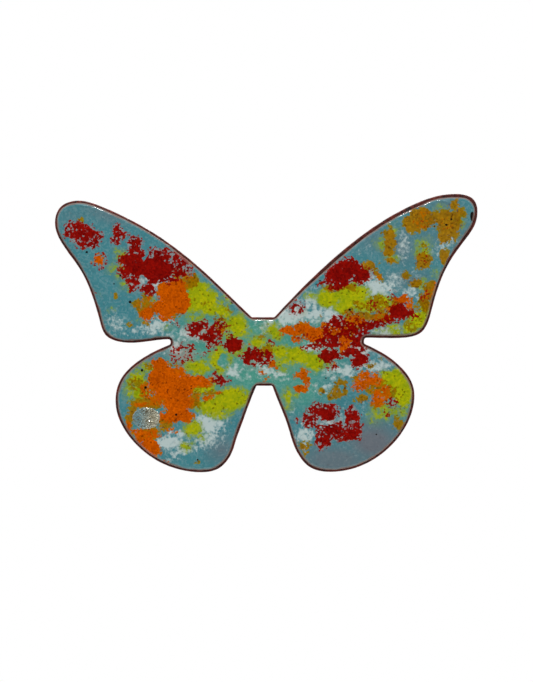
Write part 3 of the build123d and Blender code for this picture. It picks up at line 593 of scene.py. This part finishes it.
def fieldOf(tree, label):
    return addNode(tree, "ShaderNodeAttribute", attribute_name=label).outputs["Fac"]


def bumped(tree, height, depth, below=None):  # depth is in millimetres
    inputs = {"Height": height, "Distance": depth * mm, "Strength": 1.0}
    if below is not None:
        inputs["Normal"] = below
    return addNode(tree, "ShaderNodeBump", inputs).outputs[0]


enamelFace = {
    "rimStep": 0.2,
    "netStep": 0.175,
    "rollInsets": [0, 0.02, 0.05, 0.1, 0.16, 0.23, 0.31, 0.4],  # rings over the rounded edge of the glass
    "rollWidth": 0.4,
    "rollDrop": 0.3,
    "calmWidth": 0.5,  # the relief starts this far from the edge
    "back": ([0, 0.8], 1.0),
    "wander": 0.07,  # how far the glass edge strays from a true line
    "topRim": 0.2,  # more bare metal along the top of the right wing
    "tipRim": 0.7,  # the share of it that goes on round the tip
    "orangePeel": 0.012,
    "mound": 0.012,  # the heaps of red and orange grains stand this much higher
    "drifts": [(0.5, 1.3, 1.0, 9.0), (0.2, 0.42, 4.0, 6.0)],  # pull, size and seeds: bends the sifted heaps
    "holeSoft": 0.25,
    "ridges": [  # x and z of both ends, half width, height: threads in the glass that catch the light
        (-12.4, 12.1, -9.6, 9.2, 0.15, 0.1), (-12.2, -10.0, -9.6, -10.25, 0.1, 0.07),
        (-14.2, 11.0, -12.6, 12.0, 0.1, 0.03), (20.6, 18.5, 22.4, 19.1, 0.14, 0.1),
        (24.9, 19.9, 26.3, 19.6, 0.13, 0.1), (-17.6, 9.4, -17.1, 10.6, 0.1, 0.03),
        (-13.4, 6.0, -12.9, 6.6, 0.1, 0.03), (-27.0, 19.3, -24.8, 19.0, 0.14, 0.1),
    ],
}

# Each tone of the ground glass, and how strongly it is laid on where its mask is full.
groundTones = {
    "wing": ((70, 134, 144), 1),
    "bodyGreen": ((78, 154, 136), 1),
    "deep": ((44, 98, 108), 0.34),
    "haze": ((194, 208, 206), 0.11),
    "dusk": ((112, 104, 112), 0.75),
    "milk": ((194, 208, 206), 0.84),
    "blush": ((190, 148, 140), 1),
    "wash": ((124, 150, 74), 0.45),  # thin lime melted into the ground
    "burnt": ((70, 16, 4), 1),
    "soot": ((24, 18, 14), 1),
    "edge": ((110, 70, 50), 0.75),
}

# How each sifted colour covers the ground: its bright and dark tones and the tone where it lies thin, its
# grain size, the densities where the first and the last grain lie, how crisp they are, how much is left to
# the wider clouds, and how opaque it is.
grainHabits = {
    "lime": {"tones": ((186, 184, 0), (118, 144, 4), (122, 152, 56)), "size": 0.3,
             "sparse": 0.12, "dense": 1.05, "crisp": 0.2, "cloudy": 0.5, "opaque": 0.98},
    "amber": {"tones": ((172, 124, 0), (112, 80, 0), (132, 122, 10)), "size": 0.27,
              "sparse": 0.22, "dense": 0.95, "crisp": 0.1, "cloudy": 0.3, "opaque": 0.98},
    "orange": {"tones": ((218, 96, 0), (152, 60, 0), (172, 104, 0)), "size": 0.25,
               "sparse": 0.22, "dense": 0.97, "crisp": 0.09, "cloudy": 0.3, "opaque": 1.0},
    "red": {"tones": ((156, 14, 4), (88, 0, 0), (140, 32, 12)), "size": 0.25,
            "sparse": 0.2, "dense": 1.18, "crisp": 0.06, "cloudy": 0.2, "opaque": 0.995},
}


def glassEdge():
    loop = glassRim(enamelFace["rimStep"])
    normals = inwards(loop)
    x, z = loop.T
    bare = rising(x, 3, 9) * rising(-normals[:, 1], 0.3, 0.7) * rising(z, 4, 6)
    bare = np.maximum(bare, enamelFace["tipRim"] * rising(x, 26, 28))
    inset = enamelFace["wander"] * (0.6 * ripple(loop, 2.6, 3.1) + 0.6 * ripple(loop, 0.8, 8.2))
    inset = inset + enamelFace["topRim"] * bare * (0.8 + 0.6 * ripple(loop, 3.0, 5.0))
    return soften(loop + inset[:, None] * normals, 4)


def ridgeHeight(places):
    height = np.zeros(len(places))
    for x0, z0, x1, z1, halfWidth, rise in enamelFace["ridges"]:
        along = np.array([x1 - x0, z1 - z0])
        share = np.clip((places - (x0, z0)) @ along / np.hypot(*along) ** 2, 0, 1)
        away = np.hypot(*(places - (x0, z0) - share[:, None] * along).T)
        ends = np.sin(math.pi * (0.1 + 0.8 * share))
        height = np.maximum(height, rise * np.exp(-(away / halfWidth) ** 2) * ends)
    return height


def densities(places):
    field = {}
    drifted = places
    for pull, size, *seeds in enamelFace["drifts"]:
        drifted = drifted + pull * np.column_stack([ripple(places, size, seed) for seed in seeds])
    for colour, sift in sifting.items():
        kept = 1 - patchDensity(drifted, sift.get("holes", []), enamelFace["holeSoft"])
        field[colour] = kept * patchDensity(drifted, sift["patches"], sift["soft"])
    for tint, sift in tints.items():
        field[tint] = patchDensity(places, sift["patches"], sift["soft"])
    return field


def makeEnamelFace():
    loop = glassEdge()
    field = {}

    def frontLevel(places):
        gap = edgeGap(places, loop)
        field.update(densities(places), edgeGap=gap)
        drop = enamelFace["rollDrop"] * rolledOver(gap, enamelFace["rollWidth"])
        relief = enamelFace["orangePeel"] * (ripple(places, 2.2, 2.0) + 0.5 * ripple(places, 0.9, 7.0))
        relief = relief + enamelFace["mound"] * np.maximum(field["red"], field["orange"])
        relief = relief * np.clip(gap / enamelFace["calmWidth"], 0, 1)
        return domeLevel(places, dome["glassFront"]) + drop - relief - ridgeHeight(places)

    def backLevel(places):
        return domeLevel(places, dome["copperFront"] + dome["lap"])

    front = (enamelFace["rollInsets"], enamelFace["netStep"])
    face = closedPlate("enamelFace", loop, front, enamelFace["back"], frontLevel, backLevel)
    for label, values in field.items():
        writeField(face, label, values)
    face.data.materials.append(makeEnamelGlass())
    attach(face, "brooch")
    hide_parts("ground_enamel", "white_frit", "lime_frit", "amber_frit", "orange_frit", "red_frit")
    print("enamelled face:", facesOf(face))


def makeEnamelGlass():
    material, shader, tree, place = newMaterial("enamelGlass", IOR=1.52)
    read = {label: fieldOf(tree, label) for label in [*sifting, *tints, "edgeGap"]}

    def laid(below, mask, name):
        tone, strength = groundTones[name]
        return layered(tree, times(tree, mask, strength), below, tone)

    # Ground glass: cloudy, with fine paler and darker specks.
    speck = grains(tree, place, 0.26, 3.0)
    glass = laid(groundTones["wing"][0], ramped(tree, read["body"], 0.25, 0.85), "bodyGreen")
    glass = laid(glass, mottle(tree, place, 2.6, 1.6), "deep")
    glass = laid(glass, ramped(tree, speck[0], 0.4, 1.0), "haze")
    glass = laid(glass, read["dusk"], "dusk")

    # White: drifts of pale grains with a ragged, half-clear edge.
    mixed = blended(tree, 0.25, mottle(tree, place, 0.55, 1.9, 4.0), speck[1])
    milk = useEffect(tree, "sifted", {"Density": read["white"], "Chance": mixed,
                                      "Sparse": 0.0, "Dense": 1.2, "Crisp": 0.34})[0]
    glass = laid(glass, milk, "milk")

    # Where red grains lie thin, the glass around them is blushed.
    stained = times(tree, read["blush"], ramped(tree, speck[1], 0.1, 0.7, 0.2, 0.6))
    stained = maths(tree, "MAXIMUM", ramped(tree, read["red"], 0.45, 0.85, 0.0, 0.36), stained)
    glass = laid(glass, stained, "blush")
    glass = laid(glass, ramped(tree, read["lime"], 0.08, 0.75), "wash")

    relief = speck[2]
    wide = mottle(tree, place, 0.8, 1.9)
    cloud = mottle(tree, place, 2.0, 2.2)
    for order, (colour, habit) in enumerate(grainHabits.items()):
        bright, dark, thin = habit["tones"]
        grain = grains(tree, place, habit["size"], 11.0 + 7 * order)
        cover = useEffect(tree, "sifted", {
            "Density": read[colour], "Chance": blended(tree, habit["cloudy"], grain[0], wide),
            "Sparse": habit["sparse"], "Dense": habit["dense"], "Crisp": habit["crisp"]})[0]
        lump = layered(tree, blended(tree, 0.4, grain[1], cloud), bright, dark)
        depth = maths(tree, "ADD", read[colour], times(tree, wide, 0.5))
        lump = layered(tree, ramped(tree, depth, 0.6, 1.2, 0.9, 0.0), lump, thin)
        glass = layered(tree, times(tree, cover, habit["opaque"]), glass, lump)
        relief = maths(tree, "MULTIPLY_ADD", relief, 0.6, times(tree, cover, grain[2]))

    # Scattered burnt specks and pinholes, and the thin glass that lets the metal show along the edge.
    heat = maths(tree, "MAXIMUM", read["orange"], maths(tree, "MAXIMUM", read["amber"], read["lime"]))
    rare = ramped(tree, grains(tree, place, 0.24, 61.0)[0], 0.955, 0.965)
    glass = laid(glass, times(tree, rare, ramped(tree, heat, 0.3, 0.8, 0.12, 0.55)), "burnt")
    glass = laid(glass, ramped(tree, read["dots"], 0.35, 0.65), "soot")
    depth = maths(tree, "SUBTRACT", read["edgeGap"], times(tree, mottle(tree, place, 1.4, 2.4), 0.2))
    glass = laid(glass, ramped(tree, depth, 0.0, 0.16, 1.0, 0.0), "edge")

    smooth = mottle(tree, place, 1.2, 1.0)
    normal = bumped(tree, relief, 0.006, bumped(tree, smooth, 0.03))
    feed(tree, shader, Base_Color=glass, Normal=normal,
         Roughness=ramped(tree, smooth, 0.2, 0.8, 0.06, 0.16))
    return material


copperRim = {
    "rimStep": 0.2,
    "round": 0.14,
    "wander": 0.03,  # saw and file marks
    "hammered": 0.008,
    "sides": ([0, 0.01, 0.04, 0.09, 0.15], 0.9),
    "scale": (58, 12, 8),
    "worn": (116, 40, 24),
    "pits": (34, 12, 10),
    "flecks": (14, 10, 10),
}


def makeCopperRim():
    loop = copperOutline(copperRim["rimStep"])
    strayed = copperRim["wander"] * (0.6 * ripple(loop, 1.7, 2.0) + 0.4 * ripple(loop, 0.6, 5.0))
    loop = loop + strayed[:, None] * inwards(loop)

    def rounded(places):
        return copperRim["round"] * rolledOver(edgeGap(places, loop), copperRim["round"])

    def frontLevel(places):
        dents = copperRim["hammered"] * ripple(places, 0.7, 3.0)
        return domeLevel(places, dome["copperFront"]) + rounded(places) + dents

    def backLevel(places):
        dents = copperRim["hammered"] * ripple(places, 0.7, 9.0)
        return domeLevel(places, dome["copperBack"]) - rounded(places) + dents

    plate = closedPlate("copperRim", loop, copperRim["sides"], copperRim["sides"], frontLevel, backLevel)
    plate.data.materials.append(makeFiredCopper())
    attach(plate, "brooch")
    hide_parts("copper_blank")
    print("copper plate:", facesOf(plate))


def makeFiredCopper():
    material, shader, tree, place = newMaterial("firedCopper", Metallic=0.35)
    fine = mottle(tree, place, 0.25, 2.2)
    flecks = grains(tree, place, 0.3, 5.0)[0]
    tone = layered(tree, mottle(tree, place, 1.1, 2.6), copperRim["scale"], copperRim["worn"])
    tone = layered(tree, times(tree, fine, 0.35), tone, copperRim["pits"])
    tone = layered(tree, ramped(tree, flecks, 0.82, 0.9, 0, 0.8), tone, copperRim["flecks"])
    feed(tree, shader, Base_Color=tone, Roughness=ramped(tree, fine, 0.2, 0.8, 0.34, 0.6),
         Normal=bumped(tree, fine, 0.03))
    return material


foilLeaf = {
    "half": np.array([2.15, 1.66]),
    "rings": 20,
    "around": 90,
    "crumple": 0.05,  # the crests break the glass and the hollows lie just under it
    "foldSize": 0.5,
    "ragged": 0.1,
    "brightFrom": -0.7,  # the right part stands higher and catches more light
    "brightFade": 0.3,
    "brightRise": 0.03,
    "under": 0.02,
    "thick": 0.3,
    "rimFrom": 0.85,  # from here outwards, as a share of its reach, the leaf dives under the glass
    "rimDrop": 0.09,
    "clear": ((84, 128, 138), (128, 156, 158)),
    "silver": (182, 180, 158),
    "shadow": (96, 76, 34),
    # the rim tone is a painted highlight: a pale tone laid along the leaf's flaking edge
    "rim": (172, 184, 182),
}


def makeFoil():
    low, high = corners("foil_paillon")
    centre = np.array([(low[0] + high[0]) / 2, (low[2] + high[2]) / 2])
    rings, around = foilLeaf["rings"], foilLeaf["around"]
    places = [centre]
    for ring in range(1, rings + 1):
        for step in range(around):
            turn = 2 * math.pi * (step + 0.5 * (ring % 2)) / around
            heading = np.array([math.cos(turn), math.sin(turn)])
            edge = 1 + foilLeaf["ragged"] * noise.noise((3 * heading[0], 3 * heading[1], 2))
            places.append(centre + edge * ring / rings * foilLeaf["half"] * heading)
    places = np.array(places)
    size = foilLeaf["foldSize"]
    folds = np.array([noise.turbulence((x / size, z / size, 3), 3, True) for x, z in places])
    bright = 1 / (1 + np.exp((foilLeaf["brightFrom"] - places[:, 0] + centre[0]) / foilLeaf["brightFade"]))
    outward = np.hypot(*((places - centre) / foilLeaf["half"]).T)
    rise = foilLeaf["crumple"] * (folds - folds.mean()) * (0.5 + 1.2 * bright)
    rise = rise + foilLeaf["brightRise"] * bright
    dive = foilLeaf["rimDrop"] * np.maximum(outward - foilLeaf["rimFrom"], 0) / (1 - foilLeaf["rimFrom"])
    front = domeLevel(places, dome["glassFront"]) - foilLeaf["under"] - rise + dive
    back = domeLevel(places, dome["glassFront"] + foilLeaf["thick"])

    count = len(places)
    faces = [[0, 1 + i, 1 + (i + 1) % around] for i in range(around)]
    for ring in range(rings - 1):
        here, there = 1 + ring * around, 1 + (ring + 1) * around
        for i in range(around):
            j = (i + 1) % around
            if ring % 2:  # every other ring is turned by half a step
                faces += [[here + i, there + i, there + j], [here + i, there + j, here + j]]
            else:
                faces += [[here + i, there + i, here + j], [there + i, there + j, here + j]]
    last = 1 + (rings - 1) * around
    faces += [[count + i for i in reversed(face)] for face in faces]
    faces += band(count + last, last, around)
    points = np.vstack([np.column_stack([places[:, 0], level, places[:, 1]]) for level in (front, back)])
    foil = meshPiece("foil", points, faces, smooth=False)
    writeField(foil, "outward", np.tile(outward, 2))
    foil.data.materials.append(makeFoilSilver(float(low[0]) + 1, float(high[0]) - 1))
    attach(foil, "brooch")
    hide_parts("foil_paillon")
    print("silver foil:", facesOf(foil))


def makeFoilSilver(left, right):
    material, shader, tree, place = newMaterial("foilSilver", Coat_Weight=1.0, Coat_Roughness=0.04)
    cloud = mottle(tree, place, 0.7, 3.0)
    fine = mottle(tree, place, 0.22, 3.0)
    side = ramped(tree, addNode(tree, "ShaderNodeSeparateXYZ", {0: place}).outputs["X"], left, right)
    leaf = layered(tree, cloud, *foilLeaf["clear"])
    leaf = layered(tree, side, leaf, foilLeaf["silver"])
    leaf = layered(tree, ramped(tree, fine, 0.5, 0.75, 0, 0.65), leaf, foilLeaf["shadow"])
    # Paler towards the edge of the leaf: flaking foil, with a painted highlight laid along it.
    leaf = layered(tree, ramped(tree, fieldOf(tree, "outward"), 0.78, 0.98, 0, 0.6), leaf, foilLeaf["rim"])
    feed(tree, shader, Base_Color=leaf, Metallic=ramped(tree, side, 0.0, 1.0, 0.3, 0.85),
         Roughness=ramped(tree, cloud, 0.2, 0.8, 0.18, 0.4), Normal=bumped(tree, fine, 0.05))
    return material


counterGlass = {
    "edgeStep": 0.25,
    "shy": 0.08,  # how far it stays back from the line of the front glass
    "wander": 0.1,
    "back": ([0, 0.03, 0.1, 0.2, 0.33, 0.5], 0.45),
    "front": ([0, 0.8], 1.2),
    "rollWidth": 0.5,
    "rollDrop": 0.27,
    "uneven": 0.02,
    "clouds": ((34, 48, 62), (58, 78, 88)),
    "darkGrains": (16, 22, 30),
    "paleGrains": (126, 146, 148),
    "stain": (90, 60, 60),
}


def makeCounterEnamel():
    loop = glassRim(counterGlass["edgeStep"])
    strayed = counterGlass["wander"] * (ripple(loop, 2.2, 6.0) + 0.5 * ripple(loop, 0.7, 1.0))
    loop = soften(loop + (counterGlass["shy"] + strayed)[:, None] * inwards(loop), 3)

    def backLevel(places):
        gap = edgeGap(places, loop)
        drop = counterGlass["rollDrop"] * rolledOver(gap, counterGlass["rollWidth"])
        waves = counterGlass["uneven"] * ripple(places, 1.8, 4.0) * np.clip(gap, 0, 1)
        return domeLevel(places, dome["counterBack"]) - drop + waves

    def frontLevel(places):
        return domeLevel(places, dome["copperBack"] - dome["lap"])

    coat = closedPlate("counterEnamel", loop, counterGlass["front"], counterGlass["back"],
                       frontLevel, backLevel)
    coat.data.materials.append(makeCounterGlass())
    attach(coat, "brooch")
    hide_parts("counter_enamel")
    print("counter enamel:", facesOf(coat))


def makeCounterGlass():
    material, shader, tree, place = newMaterial("counterGlass", IOR=1.52)
    cloud = mottle(tree, place, 3.0, 2.2)
    grain = grains(tree, place, 0.34, 2.0)
    tone = layered(tree, cloud, *counterGlass["clouds"])
    tone = layered(tree, ramped(tree, grain[0], 0.72, 0.8, 0, 0.75), tone, counterGlass["darkGrains"])
    tone = layered(tree, ramped(tree, grain[1], 0.9, 0.95, 0, 0.6), tone, counterGlass["paleGrains"])
    tone = layered(tree, ramped(tree, cloud, 0.55, 0.8, 0, 0.3), tone, counterGlass["stain"])
    smooth = mottle(tree, place, 1.5, 1.2)
    normal = bumped(tree, grain[2], 0.008, bumped(tree, smooth, 0.06))
    feed(tree, shader, Base_Color=tone, Roughness=ramped(tree, smooth, 0.2, 0.8, 0.1, 0.26), Normal=normal)
    return material


epoxyBed = {
    "overhang": 0.75,
    "edgeStep": 0.2,
    "wander": 0.22,
    "rise": 0.3,  # how far it climbs the side of the bar
    "climb": 1.8,  # the hollow of the fillet
    "lip": 0.03,
    "seat": 0.05,  # how far it reaches into the counter enamel
    "back": ([0, 0.06, 0.14, 0.24, 0.36, 0.5, 0.62], 0.22),
    "front": ([0, 0.6], 0.8),
    "barThickness": 0.7,
    "holes": (-4.5, 4.5),
    "plugSides": 40,
    "plugProfile": [  # radius, and rise over the back of the bar
        (0.86, -0.6), (0.88, -0.02), (1.2, 0.01), (1.14, 0.1), (0.9, 0.2), (0.55, 0.27), (0.2, 0.3),
    ],
    "clear": ((212, 200, 160), (190, 172, 120)),
    "bubbles": (236, 232, 214),
}


def barOutline(extra):
    low, high = corners("pin_bar")
    radius = (high[2] - low[2]) / 2 + extra
    middle = (low[0] + high[0]) / 2
    run = (high[0] - low[0]) / 2 + extra - radius
    turn = np.linspace(-math.pi / 2, math.pi / 2, 40)
    right = np.column_stack([middle + run + radius * np.cos(turn), radius * np.sin(turn)])
    left = np.column_stack([middle - run - radius * np.cos(turn), -radius * np.sin(turn)])
    return evenly(np.vstack([right, left]), epoxyBed["edgeStep"])


def makeEpoxy():
    barFront = corners("pin_bar")[0][1]
    loop = barOutline(epoxyBed["overhang"])
    loop = soften(loop + epoxyBed["wander"] * ripple(loop, 2.4, 7.0)[:, None] * inwards(loop), 3)
    bar = barOutline(0.0)

    def backLevel(places):
        ground = domeLevel(places, dome["counterBack"]) + epoxyBed["lip"]
        under = insideOf(places, bar)
        away = np.where(under, 0, nearest(places, bar))
        reach = np.maximum(nearest(places, loop) + away, 0.05)
        top = np.where(under, barFront + 0.02, barFront + epoxyBed["rise"])
        return ground + (top - ground) * np.clip(1 - away / reach, 0, 1) ** epoxyBed["climb"]

    def frontLevel(places):
        return domeLevel(places, dome["counterBack"] - epoxyBed["seat"])

    bed = closedPlate("epoxyBed", loop, epoxyBed["front"], epoxyBed["back"], frontLevel, backLevel)
    joined = [bed] + [makePlug(x, barFront + epoxyBed["barThickness"]) for x in epoxyBed["holes"]]
    with bpy.context.temp_override(active_object=bed, object=bed, selected_objects=joined,
                                   selected_editable_objects=joined):
        bpy.ops.object.join()
    bed.data.materials.append(makeEpoxyGlass())
    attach(bed, "brooch")
    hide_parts("adhesive_bed")
    print("epoxy bed:", facesOf(bed))


def makePlug(x, barBack):
    around, rings = epoxyBed["plugSides"], len(epoxyBed["plugProfile"])
    points, faces = [], []
    for radius, rise in epoxyBed["plugProfile"]:
        for step in range(around):
            turn = 2 * math.pi * step / around
            spread = radius * (1 + 0.05 * noise.noise((math.cos(turn) + x, math.sin(turn), radius)))
            points.append((x + spread * math.cos(turn), barBack + rise, spread * math.sin(turn)))
    last = (rings - 1) * around
    for here in range(0, last, around):
        faces += band(here + around, here, around)
    faces += [list(range(around)), [last + i for i in reversed(range(around))]]
    return meshPiece("plug", points, faces)


def makeEpoxyGlass():
    material, shader, tree, place = newMaterial("epoxyClear", IOR=1.5, Transmission_Weight=0.55)
    cloud = mottle(tree, place, 1.6, 1.8)
    bubble = grains(tree, place, 0.35, 9.0, 0.02)
    rare = times(tree, ramped(tree, bubble[0], 0.9, 0.92), bubble[2])
    tone = layered(tree, cloud, *epoxyBed["clear"])
    tone = layered(tree, times(tree, rare, 0.6), tone, epoxyBed["bubbles"])
    feed(tree, shader, Base_Color=tone, Roughness=ramped(tree, cloud, 0.2, 0.8, 0.08, 0.2),
         Normal=bumped(tree, rare, 0.03))
    return material


pinMetal = {
    "platedNickel": {"light": (214, 210, 200), "dark": (150, 142, 128), "smooth": 0.16, "rough": 0.34,
                     "scratch": 0.5, "grain": 0.012},
    "drawnSteel": {"light": (206, 206, 204), "dark": (142, 142, 140), "smooth": 0.12, "rough": 0.28,
                   "scratch": 0.7, "grain": 0.008},
    "grime": (96, 84, 68),
    "rubbed": (236, 234, 228),
    "nodes": {"platedNickel": ["pin_bar", "joint_bracket", "hinge_rivet", "catch_housing", "lock_sleeve"],
              "drawnSteel": ["pin_stem"]},
}


def makePinMetal(name):
    finish = pinMetal[name]
    material, shader, tree, place = newMaterial(name, Metallic=1.0)
    tarnish = mottle(tree, place, 1.8, 2.4)
    drawn = useEffect(tree, "scratches", {"Vector": place, "Amount": finish["scratch"]})
    pits = grains(tree, place, 0.22, 14.0)[0]
    tone = layered(tree, ramped(tree, tarnish, 0.35, 0.9, 0, 0.8), finish["light"], finish["dark"])
    tone = layered(tree, ramped(tree, pits, 0.95, 0.97, 0, 0.5), tone, pinMetal["grime"])
    tone = layered(tree, times(tree, drawn[1], 0.4), tone, pinMetal["rubbed"])
    gloss = ramped(tree, blended(tree, 0.4, tarnish, drawn[0]), 0.3, 0.7, finish["smooth"], finish["rough"])
    feed(tree, shader, Base_Color=tone, Roughness=gloss, Normal=bumped(tree, drawn[0], finish["grain"]))
    return material


def dressPin():
    for finish, names in pinMetal["nodes"].items():
        metal = makePinMetal(finish)
        for name in names:
            nodes[name].data.materials.clear()
            nodes[name].data.materials.append(metal)
        print(finish + ":", ", ".join(names))


view = {
    "aim": (0.28, 0, -0.14),
    "height": 96.74,  # of the plane of the glass, from the top to the bottom of the picture
    "lens": 150.0,
    "sensor": 36.0,
}

lamps = {
    "key": {"at": (-18, -230, 300), "size": (44, 30), "power": 0.62, "tint": (1, 0.98, 0.95)},
    "back": {"at": (80, 320, 260), "size": (140, 90), "power": 0.7, "tint": (1, 1, 1)},
}

# A white tent all round, with a dark opening in front of the glass, so that its colours stay deep.
studio = {
    "backdrop": 1.0,
    "tent": 1.32,
    "opening": 0.0,
    "openingCosine": (0.88, 0.66),  # from straight in front: where it ends, and where the tent is full
    "rear": 0.3,  # the light straight behind, so that the pin's metal has something dark to show
    "underneath": 0.4,  # the tent's share of light at its foot
    "floorDrop": 72.0,
    "floorRadius": 110.0,
    "floorSides": 96,
    "floorTones": ((214, 214, 212), (222, 222, 220)),
}


def makeCamera():
    data = bpy.data.cameras.new("camera")
    data.lens = view["lens"]
    data.sensor_width = view["sensor"]
    data.clip_start = 0.01
    data.clip_end = 5
    camera = placed("camera", data)
    distance = view["height"] * view["lens"] / view["sensor"]
    camera.location = (Vector(view["aim"]) + Vector((0, dome["glassFront"] - distance, 0))) * mm
    camera.rotation_euler = (math.radians(90), 0, 0)
    bpy.context.scene.camera = camera


def makeLamps():
    for name, lamp in lamps.items():
        data = bpy.data.lights.new(name, "AREA")
        data.shape = "RECTANGLE"
        data.size, data.size_y = (side * mm for side in lamp["size"])
        data.energy = lamp["power"]
        data.color = lamp["tint"]
        made = placed(name, data)
        made.location = Vector(lamp["at"]) * mm
        made.rotation_euler = (-made.location).to_track_quat("-Z", "Y").to_euler()


def makeWorld():
    world = bpy.data.worlds.new("studio")
    world.use_nodes = True
    tree = world.node_tree
    tree.nodes.clear()
    coords = addNode(tree, "ShaderNodeTexCoord")
    heading = addNode(tree, "ShaderNodeSeparateXYZ", {0: coords.outputs["Generated"]}).outputs
    inner, outer = studio["openingCosine"]
    front = ramped(tree, heading["Y"], -inner, -outer, studio["opening"], studio["tent"])
    rear = ramped(tree, heading["Y"], outer, inner, 1.0, studio["rear"])
    fall = addNode(tree, "ShaderNodeMapRange", {0: heading["Z"], 1: -1.0, 2: 0.6,
                                                3: studio["underneath"], 4: 1.0})
    around = times(tree, times(tree, front, rear), fall.outputs[0])
    path = addNode(tree, "ShaderNodeLightPath")
    seen = blended(tree, path.outputs["Is Camera Ray"], around, studio["backdrop"])
    light = addNode(tree, "ShaderNodeBackground", {"Color": (1, 1, 1, 1), "Strength": seen})
    addNode(tree, "ShaderNodeOutputWorld", {0: light.outputs[0]})
    bpy.context.scene.world = world
    bpy.context.scene.view_settings.view_transform = "Standard"
    bpy.context.scene.view_settings.look = "None"


def makeFloor():
    sides = range(studio["floorSides"])
    turns = [2 * math.pi * step / len(sides) for step in sides]
    radius = studio["floorRadius"]
    rim = [(radius * math.cos(turn), radius * math.sin(turn), -studio["floorDrop"]) for turn in turns]
    floor = meshPiece("floor", rim, [list(sides)], smooth=False)
    material, shader, tree, place = newMaterial("floorPaper", Roughness=0.85)
    feed(tree, shader, Base_Color=layered(tree, mottle(tree, place, 4.0, 0.4), *studio["floorTones"]))
    floor.data.materials.append(material)


makeCamera()
makeLamps()
makeWorld()
makeFloor()
print("studio ready")
makeEnamelFace()
makeCopperRim()
makeFoil()
makeCounterEnamel()
makeEpoxy()
dressPin()
print("brooch ready")
